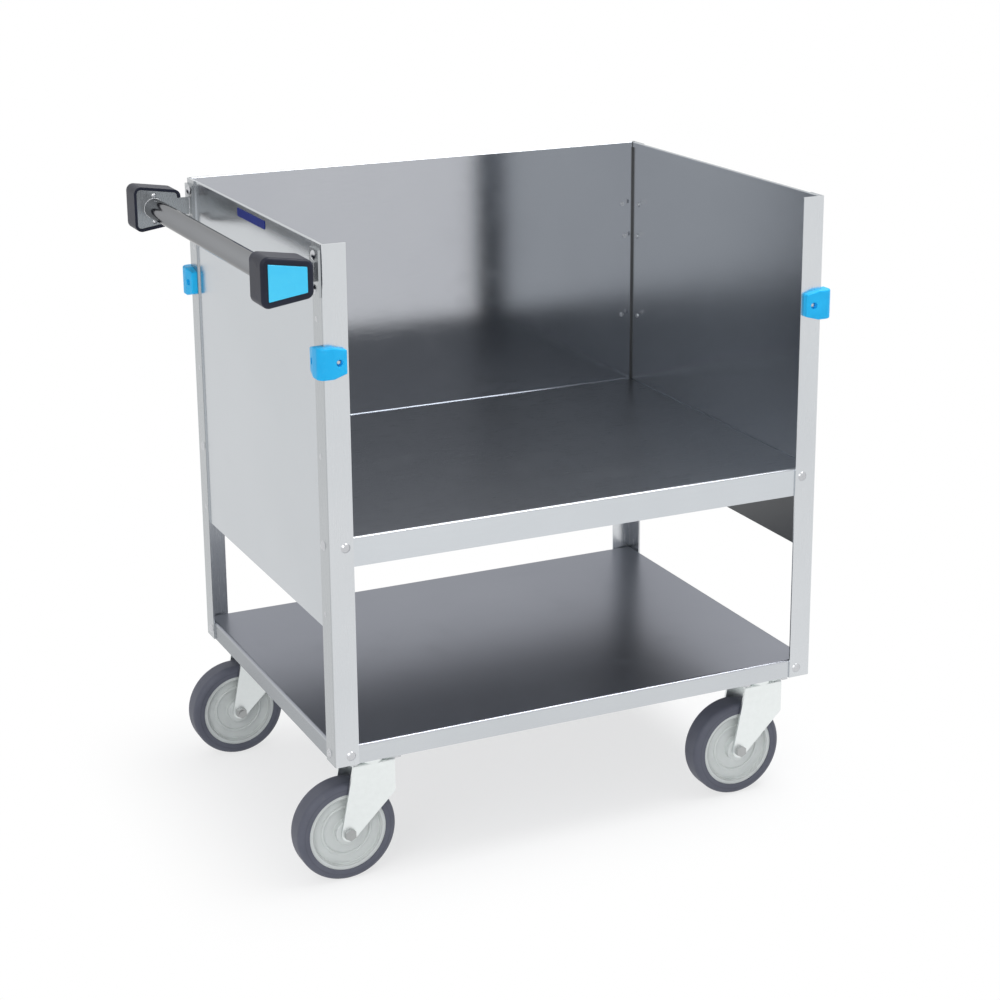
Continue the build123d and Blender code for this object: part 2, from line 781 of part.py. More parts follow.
def kingpin(x, y):
    # Countersunk head flush with the top of the plate, and a nut under the fork
    tip = kingpin_nut_top - kingpin_nut_height - kingpin_tip
    axis_plane = Plane((x, y, 0), x_dir=(1, 0, 0), z_dir=(0, -1, 0))
    with BuildPart() as pin:
        with BuildSketch(axis_plane):
            with BuildLine():
                Polyline(
                    (0, caster_height),
                    (kingpin_head_radius, caster_height),
                    (kingpin_radius, plate_bottom),
                    (kingpin_radius, tip),
                    (0, tip),
                    close=True,
                )
            make_face()
        revolve(axis=Axis((x, y, 0), (0, 0, 1)))
        with BuildSketch(Plane.XY.offset(kingpin_nut_top)):
            with Locations((x, y)):
                hexagon(kingpin_nut_flats)
                Circle(kingpin_radius + thread_clearance, mode=Mode.SUBTRACT)
        extrude(amount=-kingpin_nut_height)
    return pin.part


def swivel_balls(x, y):
    with BuildPart() as balls:
        with Locations((x, y, ball_level)):
            with PolarLocations(ball_ring_radius, ball_count):
                Sphere(ball_radius)
    return balls.part


def fork(x, y):
    axle_x = x - caster_trail
    shoulder_top = crown_bottom + fork_thickness
    with BuildPart() as yoke:
        with BuildSketch(Plane.XY.offset(crown_bottom)):
            with Locations((x, y)):
                Rectangle(fork_length, 2 * fork_outer)
        extrude(amount=fork_thickness)
        for edge in (-1, 1):
            with BuildSketch(Plane.XZ.offset(-y - edge * fork_outer)):
                with Locations((axle_x, wheel_radius)):
                    Circle(fork_tip_radius)
                with Locations((x, shoulder_top)):
                    Rectangle(fork_length, fork_shoulder, align=(Align.CENTER, Align.MAX))
                make_hull()
            extrude(amount=edge * fork_thickness)
        top_edges = yoke.edges().filter_by(Axis.X).filter_by_position(Axis.Z, shoulder_top, shoulder_top)
        fillet(top_edges, radius=fork_bend_radius)
        with BuildSketch(Plane.XY.offset(crown_bottom)):
            with Locations((x, y)):
                Circle(race_radius)
        extrude(amount=crown_thickness)
        with Locations((x, y, ball_level)):
            Torus(ball_ring_radius, ball_radius + ball_clearance, mode=Mode.SUBTRACT)
        with Locations((x, y, crown_bottom)):
            Hole(kingpin_radius + running_clearance, crown_thickness)
        with Locations(Plane((axle_x, y, wheel_radius), z_dir=(0, 1, 0)).location):
            Hole(axle_radius + bolt_clearance, fork_outer)
    return yoke.part


def axle(x, y, end):
    # Hexagon bolt with its head on the outer side of the truck, and a nut on the inner side
    axle_plane = Plane((x - caster_trail, y, wheel_radius), z_dir=(0, end, 0))
    nut_face = -fork_outer
    tip = nut_face - axle_nut_height - axle_tip
    with BuildPart() as bolt:
        with BuildSketch(axle_plane.offset(fork_outer)):
            hexagon(axle_head_flats)
        extrude(amount=axle_head_height)
        with BuildSketch(axle_plane.offset(tip)):
            Circle(axle_radius)
        extrude(amount=fork_outer - tip)
        with BuildSketch(axle_plane.offset(nut_face)):
            hexagon(axle_head_flats)
            Circle(axle_radius + thread_clearance, mode=Mode.SUBTRACT)
        extrude(amount=-axle_nut_height)
    return bolt.part


def axle_sleeve(x, y):
    with BuildPart() as sleeve:
        with BuildSketch(Plane.XZ.offset(-y)):
            with Locations((x - caster_trail, wheel_radius)):
                Circle(sleeve_radius)
                Circle(axle_radius + thread_clearance, mode=Mode.SUBTRACT)
        extrude(amount=fork_inner, both=True)
    return sleeve.part


def wheel_core(x, y):
    # Moulded hub, web and rim, with a raised ring on each side of the web
    wheel_plane = Plane((x - caster_trail, y, wheel_radius), x_dir=(1, 0, 0), z_dir=(0, 0, 1))
    bore = sleeve_radius + running_clearance
    rim_inner = core_radius - rim_thickness
    with BuildPart() as core:
        with BuildSketch(wheel_plane) as section:
            with Locations((bore, 0)):
                Rectangle(hub_radius - bore, 2 * hub_half, align=(Align.MIN, Align.CENTER))
                Rectangle(core_radius - bore, web_thickness, align=(Align.MIN, Align.CENTER))
            with Locations((rim_inner, 0)):
                Rectangle(rim_thickness, 2 * rim_half, align=(Align.MIN, Align.CENTER))
            inner_edge = bore + core_fillet_radius
            outer_edge = core_radius - core_fillet_radius
            moulded = section.vertices().filter_by_position(Axis.X, inner_edge, outer_edge)
            fillet(moulded, radius=core_fillet_radius)
            with Locations((bead_radius, -web_thickness / 2), (bead_radius, web_thickness / 2)):
                Circle(bead_size)
        revolve(axis=Axis((x - caster_trail, y, wheel_radius), (0, 1, 0)))
    return core.part


def tyre(x, y):
    wheel_plane = Plane((x - caster_trail, y, wheel_radius), x_dir=(1, 0, 0), z_dir=(0, 0, 1))
    with BuildPart() as ring:
        with BuildSketch(wheel_plane) as section:
            with Locations((core_radius + tyre_seat_gap, 0)):
                Rectangle(tyre_depth - tyre_seat_gap, tyre_width, align=(Align.MIN, Align.CENTER))
            fillet(section.vertices().group_by(Axis.X)[-1], radius=tyre_shoulder_radius)
        revolve(axis=Axis((x - caster_trail, y, wheel_radius), (0, 1, 0)))
    return ring.part


for corner_name, (pin_x, pin_y) in kingpin_spots.items():
    caster = {
        "caster_plate": caster_plate(pin_x, pin_y),
        "kingpin": kingpin(pin_x, pin_y),
        "swivel_balls": swivel_balls(pin_x, pin_y),
        "fork": fork(pin_x, pin_y),
        "axle": axle(pin_x, pin_y, corners[corner_name][1]),
        "axle_sleeve": axle_sleeve(pin_x, pin_y),
        "wheel_core": wheel_core(pin_x, pin_y),
        "tyre": tyre(pin_x, pin_y),
    }
    for piece_name, piece in caster.items():
        piece.label = f"{corner_name}_{piece_name}"
        export_step(piece, f"parts/{corner_name}_{piece_name}.step")
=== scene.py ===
import math

import bmesh
import bpy
from mathutils import Matrix, Vector


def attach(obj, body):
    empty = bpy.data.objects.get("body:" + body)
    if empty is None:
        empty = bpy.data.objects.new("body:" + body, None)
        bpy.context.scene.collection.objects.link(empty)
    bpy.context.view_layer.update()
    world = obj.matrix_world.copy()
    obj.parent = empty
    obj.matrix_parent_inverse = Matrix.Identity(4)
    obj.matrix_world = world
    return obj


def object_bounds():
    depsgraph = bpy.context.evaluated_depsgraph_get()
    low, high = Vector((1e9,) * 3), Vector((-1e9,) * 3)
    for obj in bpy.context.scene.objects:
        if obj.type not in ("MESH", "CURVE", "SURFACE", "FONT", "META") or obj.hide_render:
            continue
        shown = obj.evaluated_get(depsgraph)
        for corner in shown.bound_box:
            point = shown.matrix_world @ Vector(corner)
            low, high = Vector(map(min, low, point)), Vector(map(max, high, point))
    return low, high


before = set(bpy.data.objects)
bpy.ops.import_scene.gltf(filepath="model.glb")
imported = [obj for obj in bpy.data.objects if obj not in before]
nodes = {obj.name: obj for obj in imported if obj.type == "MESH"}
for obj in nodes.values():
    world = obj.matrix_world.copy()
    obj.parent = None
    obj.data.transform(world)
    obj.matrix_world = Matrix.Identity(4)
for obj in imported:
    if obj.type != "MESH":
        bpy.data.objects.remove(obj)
cadLow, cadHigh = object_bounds()
scene = bpy.context.scene
scene.view_settings.view_transform = "Standard"
print("frame loaded:", len(nodes), "nodes")


# low and high corner of a node, and the point half way between them
def nodeBox(name):
    node = nodes[name]
    corners = [node.matrix_world @ Vector(corner) for corner in node.bound_box]
    low = Vector([min(c[axis] for c in corners) for axis in range(3)])
    high = Vector([max(c[axis] for c in corners) for axis in range(3)])
    return low, high, (low + high) / 2


# camera, in front of the truck on the handle's side, a little above it
cameraSet = {
    "azimuth": -25.056,  # degrees, 0 looks along +Y
    "elevation": 16.058,
    "roll": -0.415,
    "place": (-1.1351, -2.504, 1.2814),
    "lens": 79.6,
    "sensor": 36,
    "shiftY": -0.08,
    "clipEnd": 60,
}


def makeCamera(values):
    data = bpy.data.cameras.new("camera")
    data.lens = values["lens"]
    data.sensor_width = values["sensor"]
    data.sensor_fit = "HORIZONTAL"
    data.shift_y = values["shiftY"]
    data.clip_end = values["clipEnd"]
    cam = bpy.data.objects.new("camera", data)
    scene.collection.objects.link(cam)
    turn, tilt, roll = (math.radians(values[angle]) for angle in ("azimuth", "elevation", "roll"))
    look = Vector((-math.sin(turn) * math.cos(tilt), math.cos(turn) * math.cos(tilt), -math.sin(tilt)))
    aim = look.to_track_quat("-Z", "Y").to_matrix().to_4x4()
    cam.matrix_world = Matrix.Translation(values["place"]) @ aim @ Matrix.Rotation(roll, 4, "Z")
    scene.camera = cam


makeCamera(cameraSet)
print("camera placed")


# node helpers: a value given as a number or a colour is set on the socket, anything else is linked
def feed(tree, socket, value):
    if isinstance(value, (int, float, tuple)):
        socket.default_value = value
    else:
        tree.links.new(value, socket)


def addMath(tree, operation, first, second=0.0, third=0.0):
    node = tree.nodes.new("ShaderNodeMath")
    node.operation = operation
    for slot, value in enumerate((first, second, third)):
        feed(tree, node.inputs[slot], value)
    return node.outputs[0]


# how far a value lies from another, on either side
def addGap(tree, value, other):
    return addMath(tree, "ABSOLUTE", addMath(tree, "SUBTRACT", value, other))


def addRange(tree, value, fromLow, fromHigh, toLow=0.0, toHigh=1.0, smooth=False):
    node = tree.nodes.new("ShaderNodeMapRange")
    node.interpolation_type = "SMOOTHSTEP" if smooth else "LINEAR"
    feed(tree, node.inputs["Value"], value)
    limits = {"From Min": fromLow, "From Max": fromHigh, "To Min": toLow, "To Max": toHigh}
    for name, number in limits.items():
        feed(tree, node.inputs[name], number)
    return node.outputs["Result"]


def addNoise(tree, vector, scale, detail, roughness=0.5):
    node = tree.nodes.new("ShaderNodeTexNoise")
    feed(tree, node.inputs["Vector"], vector)
    feed(tree, node.inputs["Scale"], scale)
    node.inputs["Detail"].default_value = detail
    node.inputs["Roughness"].default_value = roughness
    return node.outputs["Fac"]


def addMix(tree, factor, first, second):
    node = tree.nodes.new("ShaderNodeMix")
    node.data_type = "RGBA"
    for slot, value in ((0, factor), (6, first), (7, second)):  # 6 and 7 are the colours
        feed(tree, node.inputs[slot], value)
    return node.outputs[2]


def addShaderMix(tree, factor, first, second):
    node = tree.nodes.new("ShaderNodeMixShader")
    for slot, value in enumerate((factor, first, second)):
        feed(tree, node.inputs[slot], value)
    return node.outputs[0]


def addBump(tree, height, strength, distance):
    node = tree.nodes.new("ShaderNodeBump")
    node.inputs["Strength"].default_value = strength
    node.inputs["Distance"].default_value = distance
    feed(tree, node.inputs["Height"], height)
    return node.outputs["Normal"]


def addObjectAxes(tree):
    coords = tree.nodes.new("ShaderNodeTexCoord")
    split = tree.nodes.new("ShaderNodeSeparateXYZ")
    feed(tree, split.inputs[0], coords.outputs["Object"])
    return split.outputs


# 1 for what the camera sees, also by way of metal and glass, 0 for what lights the object
def addSeen(tree):
    path = tree.nodes.new("ShaderNodeLightPath").outputs
    mirrored = addMath(tree, "MAXIMUM", path["Is Glossy Ray"], path["Is Transmission Ray"])
    return addMath(tree, "MAXIMUM", path["Is Camera Ray"], mirrored)


# empties the node tree of a world or a material, and gives the socket that its shader goes to
def startTree(holder, outputKind):
    holder.use_nodes = True
    tree = holder.node_tree
    tree.nodes.clear()
    return tree, tree.nodes.new(outputKind).inputs["Surface"]


# studio: round pale floor that fades to white, pale walls, a darker ceiling with a paler middle, soft lamps
studio = {
    "white": (1, 1, 1, 1),  # background, as it is seen
    "floorRadius": 6.0,
    "floorSegments": 96,
    "floorColour": (0.9, 0.905, 0.91, 1),
    "whiteShare": 0.66,  # of the floor under the truck, the rest takes the shadow
    "whiteSpan": (-0.12, 0.14),  # from the edge of the truck outwards
    "wall": (0.72, 0.735, 0.76, 1),
    "ceiling": (0.2, 0.205, 0.215, 1),
    "ceilingSpan": (0.06, 0.5),  # sine of the elevation
    "crown": (0.8, 0.81, 0.83, 1),
    "crownSpan": (0.6, 0.9),
    "lamps": (
        # place, aimed at, size, watts
        ((1.1, -0.4, 3.1), (0.0, 0.0, 0.3), 1.8, 56),
        ((-2.5, -2.45, 2.35), (0.0, 0.0, 0.4), 2.2, 36),
    ),
}


def makeRoom(values):
    scene.world = bpy.data.worlds.new("studio")
    tree, surface = startTree(scene.world, "ShaderNodeOutputWorld")
    height = addObjectAxes(tree)["Z"]
    above = addRange(tree, height, *values["ceilingSpan"], smooth=True)
    crown = addRange(tree, height, *values["crownSpan"], smooth=True)
    room = addMix(tree, above, values["wall"], values["ceiling"])
    light = tree.nodes.new("ShaderNodeBackground")
    feed(tree, light.inputs["Color"], addMix(tree, crown, room, values["crown"]))
    white = tree.nodes.new("ShaderNodeBackground")
    white.inputs["Color"].default_value = values["white"]
    feed(tree, surface, addShaderMix(tree, addSeen(tree), light.outputs[0], white.outputs[0]))


def makeFloorFinish(values):
    material = bpy.data.materials.new("paleFloor")
    tree, surface = startTree(material, "ShaderNodeOutputMaterial")
    matt = tree.nodes.new("ShaderNodeBsdfDiffuse")
    matt.inputs["Color"].default_value = values["floorColour"]
    white = tree.nodes.new("ShaderNodeEmission")
    white.inputs["Color"].default_value = values["white"]
    axes = addObjectAxes(tree)
    under = []
    for number, axis in enumerate("XY"):
        beyond = addMath(tree, "SUBTRACT", addMath(tree, "ABSOLUTE", axes[axis]), cadHigh[number])
        under.append(addRange(tree, beyond, *values["whiteSpan"], 1.0, 0.0, smooth=True))
    share = addRange(tree, addMath(tree, "MULTIPLY", *under), 0.0, 1.0, 1.0, values["whiteShare"])
    seen = addMath(tree, "MULTIPLY", share, addSeen(tree))
    feed(tree, surface, addShaderMix(tree, seen, matt.outputs[0], white.outputs[0]))
    return material


def makeFloor(values):
    shape = bmesh.new()
    bmesh.ops.create_circle(
        shape, cap_ends=True, radius=values["floorRadius"], segments=values["floorSegments"],
    )
    mesh = bpy.data.meshes.new("floor")
    shape.to_mesh(mesh)
    shape.free()
    mesh.materials.append(makeFloorFinish(values))
    floor = bpy.data.objects.new("floor", mesh)
    scene.collection.objects.link(floor)


def makeLamps(values):
    for number, (place, target, size, watts) in enumerate(values["lamps"]):
        data = bpy.data.lights.new(f"softbox{number}", "AREA")
        data.shape = "DISK"
        data.size = size
        data.energy = watts
        lamp = bpy.data.objects.new(f"softbox{number}", data)
        scene.collection.objects.link(lamp)
        lamp.location = place
        lamp.rotation_mode = "QUATERNION"
        lamp.rotation_quaternion = (Vector(target) - Vector(place)).to_track_quat("-Z", "Y")


makeRoom(studio)
makeFloor(studio)
makeLamps(studio)
print("studio lit")


# surface effects that several finishes share, as shader node groups
def newGroup(name, numbers, results):
    tree = bpy.data.node_groups.new(name, "ShaderNodeTree")
    addSocket = tree.interface.new_socket
    addSocket("Vector", in_out="INPUT", socket_type="NodeSocketVector")
    for socketName, value in numbers.items():
        addSocket(socketName, in_out="INPUT", socket_type="NodeSocketFloat").default_value = value
    for socketName in results:
        addSocket(socketName, in_out="OUTPUT", socket_type="NodeSocketFloat")
    return tree, tree.nodes.new("NodeGroupInput").outputs, tree.nodes.new("NodeGroupOutput").inputs


# brushed sheet: fine lines along X of the incoming vector, slow cloudy tone and wiped smears
brushSet = {
    "fineness": 2200.0,
    "stretch": 0.015,
    "grain": (2.0, 0.6),  # detail and roughness of the noise
    "cloud": (4.0, 3.0),  # scale and detail
    "smear": (22.0, 5.0, 0.6),  # scale, detail and roughness
    "evenRange": (0.3, 0.7),  # of the noise, spread to 0 and 1
    "smearRange": (0.52, 0.75),
    "grainTone": 0.4,
    "cloudTone": 0.6,
    "smearRough": 0.03,
    "bump": 0.08,
    "depth": 0.0001,
}


def makeBrushGroup(values):
    numbers = {"Fineness": values["fineness"], "Stretch": values["stretch"]}
    tree, entry, leave = newGroup("brushedGrain", numbers, ("Grain", "Cloud", "Smear"))
    squash = tree.nodes.new("ShaderNodeCombineXYZ")
    for axis, value in (("X", entry["Stretch"]), ("Y", 1.0), ("Z", 1.0)):
        feed(tree, squash.inputs[axis], value)
    lines = tree.nodes.new("ShaderNodeVectorMath")
    lines.operation = "MULTIPLY"
    feed(tree, lines.inputs[0], entry["Vector"])
    feed(tree, lines.inputs[1], squash.outputs[0])
    grain = addNoise(tree, lines.outputs[0], entry["Fineness"], *values["grain"])
    cloud = addNoise(tree, entry["Vector"], *values["cloud"])
    smear = addNoise(tree, entry["Vector"], *values["smear"])
    feed(tree, leave["Grain"], addRange(tree, grain, *values["evenRange"]))
    feed(tree, leave["Cloud"], addRange(tree, cloud, *values["evenRange"]))
    feed(tree, leave["Smear"], addRange(tree, smear, *values["smearRange"], smooth=True))
    return tree


# moulded plastic and rubber: fine skin of a mould, slow tone drift and light scuffs
mouldSet = {
    "texture": 1400.0,
    "wear": 60.0,
    "skinDetail": 2.0,
    "tone": (28.0, 3.0),  # scale and detail of the noise
    "scuff": (6.0, 0.65),  # detail and roughness
    "evenRange": (0.3, 0.7),
    "scuffRange": (0.58, 0.74),
    "scuffTone": 0.3,
    "bump": 0.1,
    "depth": 0.0003,
    "grooveWidth": 0.0012,
}


def makeMouldGroup(values):
    numbers = {"Texture": values["texture"], "Wear": values["wear"]}
    tree, entry, leave = newGroup("mouldedSkin", numbers, ("Skin", "Tone", "Scuff"))
    tone = addNoise(tree, entry["Vector"], *values["tone"])
    scuff = addNoise(tree, entry["Vector"], entry["Wear"], *values["scuff"])
    feed(tree, leave["Skin"], addNoise(tree, entry["Vector"], entry["Texture"], values["skinDetail"]))
    feed(tree, leave["Tone"], addRange(tree, tone, *values["evenRange"]))
    feed(tree, leave["Scuff"], addRange(tree, scuff, *values["scuffRange"], smooth=True))
    return tree


# wheels: distance from the axle of the nearest wheel, and moulding rings round it
leftAxle, rightAxle = nodeBox("front_left_axle")[2], nodeBox("front_right_axle")[2]
wheelPlace = {
    "Middle": (leftAxle.x + rightAxle.x) / 2,
    "Reach": (rightAxle.x - leftAxle.x) / 2,
    "Height": leftAxle.z,
}
ringSet = {"frequency": 2600.0}  # radians to the metre


def makeRingGroup(values):
    tree, entry, leave = newGroup("wheelRings", dict.fromkeys(wheelPlace, 0.0), ("Radius", "Ring"))
    split = tree.nodes.new("ShaderNodeSeparateXYZ")
    feed(tree, split.inputs[0], entry["Vector"])
    along = addMath(tree, "SUBTRACT", addGap(tree, split.outputs["X"], entry["Middle"]), entry["Reach"])
    up = addMath(tree, "SUBTRACT", split.outputs["Z"], entry["Height"])
    square = addMath(tree, "MULTIPLY_ADD", along, along, addMath(tree, "MULTIPLY", up, up))
    radius = addMath(tree, "SQRT", square)
    wave = addMath(tree, "SINE", addMath(tree, "MULTIPLY", radius, values["frequency"]))
    feed(tree, leave["Radius"], radius)
    feed(tree, leave["Ring"], addRange(tree, wave, -1.0, 1.0))
    return tree


brushGroup = makeBrushGroup(brushSet)
mouldGroup = makeMouldGroup(mouldSet)
ringGroup = makeRingGroup(ringSet)
alongX, alongY, alongZ = (0, 0, 0), (0, 0, 90), (0, 90, 0)  # turns of the brushed lines


def startMaterial(name):
    material = bpy.data.materials.new(name)
    tree, surface = startTree(material, "ShaderNodeOutputMaterial")
    shader = tree.nodes.new("ShaderNodeBsdfPrincipled")
    feed(tree, surface, shader.outputs["BSDF"])
    return material, tree, shader.inputs


def placeGroup(tree, group, turn=alongX, **values):
    coords = tree.nodes.new("ShaderNodeTexCoord")
    mapping = tree.nodes.new("ShaderNodeMapping")
    mapping.inputs["Rotation"].default_value = [math.radians(angle) for angle in turn]
    effect = tree.nodes.new("ShaderNodeGroup")
    effect.node_tree = group
    feed(tree, mapping.inputs["Vector"], coords.outputs["Object"])
    feed(tree, effect.inputs["Vector"], mapping.outputs[0])
    for socketName, value in values.items():
        effect.inputs[socketName].default_value = value
    return effect.outputs


# edge is the reflection at a grazing angle, as a share of that of plain metal
def brushedMaterial(
    name, dark, light, rough, turn=alongX, fineness=brushSet["fineness"], stretch=brushSet["stretch"],
    bump=brushSet["bump"], patch=None, edge=1.0,
):
    material, tree, shader = startMaterial(name)
    effect = placeGroup(tree, brushGroup, turn, Fineness=fineness, Stretch=stretch)
    cloud = addMath(tree, "MULTIPLY", effect["Cloud"], brushSet["cloudTone"])
    tone = addMath(tree, "MULTIPLY_ADD", effect["Grain"], brushSet["grainTone"], cloud)
    colour = addMix(tree, tone, dark, light)
    spread = addRange(tree, effect["Grain"], 0.0, 1.0, *rough)
    spread = addMath(tree, "MULTIPLY_ADD", effect["Smear"], brushSet["smearRough"], spread)
    if patch:
        mask = patch["mask"](tree, patch)
        colour = addMix(tree, mask, colour, addMix(tree, tone, patch["dark"], patch["light"]))
        spread = addMath(tree, "MULTIPLY_ADD", mask, patch["rougher"], spread)
    feed(tree, shader["Base Color"], colour)
    feed(tree, shader["Roughness"], spread)
    feed(tree, shader["Normal"], addBump(tree, effect["Grain"], bump, brushSet["depth"]))
    shader["Metallic"].default_value = 1.0
    shader["Specular Tint"].default_value = (edge, edge, edge, 1)
    return material


def mouldedMaterial(
    name, dark, light, worn, rough, texture=mouldSet["texture"], wear=mouldSet["wear"], specular=0.5, rings=None,
):
    material, tree, shader = startMaterial(name)
    effect = placeGroup(tree, mouldGroup, Texture=texture, Wear=wear)
    base = addMix(tree, effect["Tone"], dark, light)
    height = effect["Skin"]
    if rings:
        turned = placeGroup(tree, ringGroup, **wheelPlace)
        # painted shade: a darker line at the groove radius round the axle stands for the shade in a groove; the
        # ring relief is a bump
        off = addGap(tree, turned["Radius"], rings["groove"])
        groove = addRange(tree, off, 0.0, mouldSet["grooveWidth"], 1.0, 0.0, smooth=True)
        base = addMix(tree, addMath(tree, "MULTIPLY", groove, rings["depth"]), base, rings["colour"])
        height = addMath(tree, "MULTIPLY_ADD", turned["Ring"], rings["relief"], height)
    scuffed = addMath(tree, "MULTIPLY", effect["Scuff"], mouldSet["scuffTone"])
    feed(tree, shader["Base Color"], addMix(tree, scuffed, base, worn))
    feed(tree, shader["Roughness"], addRange(tree, effect["Scuff"], 0.0, 1.0, *rough))
    feed(tree, shader["Normal"], addBump(tree, height, mouldSet["bump"], mouldSet["depth"]))
    shader["Specular IOR Level"].default_value = specular
    return material


# patches of a sheet with a tone and roughness of their own: painted shade darkens the top of a shelf, the inner
# face of the end panels under the upper shelf, and the end flanges of the posts; both ends of the back panel are
# darker
# painted shade: the top face of a shelf, from a little below its top level up, takes a darker tone than the rest
# of the sheet
def deckTopShadeMask(tree, patch):
    height = addObjectAxes(tree)["Z"]
    return addRange(tree, height, *(patch["level"] - fade for fade in patch["fade"]), smooth=True)


# painted shade: the inner faces of the end panels below the upper shelf
def shadeUnderShelfMask(tree, patch):
    axes = addObjectAxes(tree)
    across = addGap(tree, axes["X"], patch["middle"])
    inner = addRange(tree, across, *(patch["reach"] - fade for fade in patch["fade"]), 1.0, 0.0)
    under = addRange(tree, axes["Z"], patch["level"] - patch["drop"], patch["level"], 1.0, 0.0)
    return addMath(tree, "MULTIPLY", inner, under)


def endMask(tree, patch):
    across = addGap(tree, addObjectAxes(tree)["X"], patch["middle"])
    return addRange(tree, across, *(patch["reach"] - fade for fade in patch["fade"]), smooth=True)


upperShelf, lowerShelf, backPanel = nodeBox("upper_shelf"), nodeBox("lower_shelf"), nodeBox("back_panel")
middleX = backPanel[2].x
patches = {
    # painted shade: the top of the upper shelf is darker than its lips
    "upperTopShade": {
        "mask": deckTopShadeMask, "level": upperShelf[1].z, "fade": (0.003, 0.0006),
        "dark": (0.35, 0.365, 0.39, 1), "light": (0.38, 0.395, 0.42, 1), "rougher": 0.05,
    },
    # painted shade: the top of the lower shelf is darker than its lips
    "lowerTopShade": {
        "mask": deckTopShadeMask, "level": lowerShelf[1].z, "fade": (0.003, 0.0006),
        "dark": (0.365, 0.38, 0.425, 1), "light": (0.405, 0.42, 0.465, 1), "rougher": 0.06,
    },
    # painted shade under the upper shelf, dark and rougher, on the inner faces of the end panels
    "shadeUnderShelf": {
        "mask": shadeUnderShelfMask, "level": upperShelf[0].z, "drop": 0.002, "fade": (0.0008, 0.0004),
        "middle": middleX, "reach": nodeBox("right_end_panel")[1].x - middleX,
        "dark": (0.12, 0.125, 0.13, 1), "light": (0.15, 0.155, 0.16, 1), "rougher": 0.2,
    },
    # both ends of the back panel, where it meets the end panels, darker and rougher over a few millimetres
    "darkBackPanelEnds": {
        "mask": endMask, "fade": (0.004, 0.0015), "middle": middleX, "reach": backPanel[1].x - middleX,
        "dark": (0.10, 0.10, 0.10, 1), "light": (0.14, 0.14, 0.14, 1), "rougher": 0.25,
    },
    # painted shade: the outer end flanges of the posts take a darker tone than their fronts
    "flange": {
        "mask": endMask, "fade": (0.0012, 0.0002),
        "middle": middleX, "reach": middleX - nodeBox("front_left_post")[0].x,
        "dark": (0.42, 0.44, 0.455, 1), "light": (0.46, 0.48, 0.495, 1), "rougher": 0.02,
    },
}
# steel: darker and lighter tone, lowest and highest roughness, way of the lines
# moulded: darker and lighter tone, tone of the scuffs, roughness plain and scuffed
finishes = {
    "post": brushedMaterial(
        "postSteel", (0.61, 0.635, 0.66, 1), (0.68, 0.70, 0.72, 1), (0.20, 0.28), alongZ, patch=patches["flange"],
    ),
    "endPanel": brushedMaterial(
        "endPanelSteel", (0.495, 0.52, 0.545, 1), (0.535, 0.56, 0.585, 1), (0.17, 0.23), alongY,
        patch=patches["shadeUnderShelf"],
    ),
    "backPanel": brushedMaterial(
        "backPanelSteel", (0.43, 0.445, 0.48, 1), (0.475, 0.49, 0.52, 1), (0.09, 0.12), alongX,
        patch=patches["darkBackPanelEnds"],
    ),
    "upperShelf": brushedMaterial(
        "upperShelfSteel", (0.60, 0.63, 0.66, 1), (0.66, 0.69, 0.72, 1), (0.22, 0.25), alongX,
        bump=0.003, patch=patches["upperTopShade"], edge=0.17,
    ),
    "lowerShelf": brushedMaterial(
        "lowerShelfSteel", (0.55, 0.575, 0.60, 1), (0.61, 0.635, 0.66, 1), (0.22, 0.25), alongX,
        bump=0.003, patch=patches["lowerTopShade"], edge=0.42,
    ),
    "channel": brushedMaterial(
        "channelSteel", (0.46, 0.475, 0.49, 1), (0.54, 0.555, 0.57, 1), (0.30, 0.40), alongY,
    ),
    "tube": brushedMaterial(
        "tubeSteel", (0.33, 0.34, 0.355, 1), (0.38, 0.39, 0.405, 1), (0.08, 0.13), alongY, edge=0.5,
    ),
    "zinc": brushedMaterial(
        "zincPlate", (0.77, 0.805, 0.80, 1), (0.85, 0.885, 0.88, 1), (0.30, 0.42), alongX,
        fineness=160.0, stretch=1.0, bump=0.04,
    ),
    "fastener": brushedMaterial(
        "fastenerSteel", (0.50, 0.51, 0.53, 1), (0.62, 0.63, 0.65, 1), (0.22, 0.32), alongX,
        fineness=900.0, stretch=0.4,
    ),
    "axle": brushedMaterial(
        "axleSteel", (0.36, 0.37, 0.37, 1), (0.46, 0.47, 0.47, 1), (0.32, 0.44), alongX,
        fineness=900.0, stretch=0.4,
    ),
    "bumper": mouldedMaterial(
        "bumperBlue", (0.01, 0.46, 0.90, 1), (0.018, 0.53, 0.98, 1), (0.08, 0.57, 0.98, 1), (0.42, 0.55),
        specular=0.25,
    ),
    "insert": mouldedMaterial(
        "insertBlue", (0.05, 0.60, 0.97, 1), (0.07, 0.67, 1.0, 1), (0.2, 0.74, 1.0, 1), (0.36, 0.5),
        specular=0.4,
    ),
    "cap": mouldedMaterial(
        "capBlack", (0.009, 0.011, 0.023, 1), (0.015, 0.018, 0.034, 1), (0.045, 0.05, 0.07, 1), (0.45, 0.6),
        specular=0.24,
    ),
    "core": mouldedMaterial(
        "wheelCoreGrey", (0.65, 0.68, 0.665, 1), (0.72, 0.75, 0.735, 1), (0.5, 0.52, 0.51, 1), (0.4, 0.55),
        # the colour of the core's groove line is painted shade
        rings={"groove": 0.0445, "depth": 0.5, "colour": (0.26, 0.27, 0.26, 1), "relief": 0.25},
    ),
    "tyre": mouldedMaterial(
        "tyreGrey", (0.09, 0.096, 0.128, 1), (0.112, 0.119, 0.154, 1), (0.19, 0.195, 0.21, 1), (0.55, 0.72),
        texture=900.0, wear=90.0,
        # the colour of the tyre's groove line is painted shade
        rings={"groove": 0.0555, "depth": 0.35, "colour": (0.05, 0.05, 0.07, 1), "relief": 0.2},
    ),
}
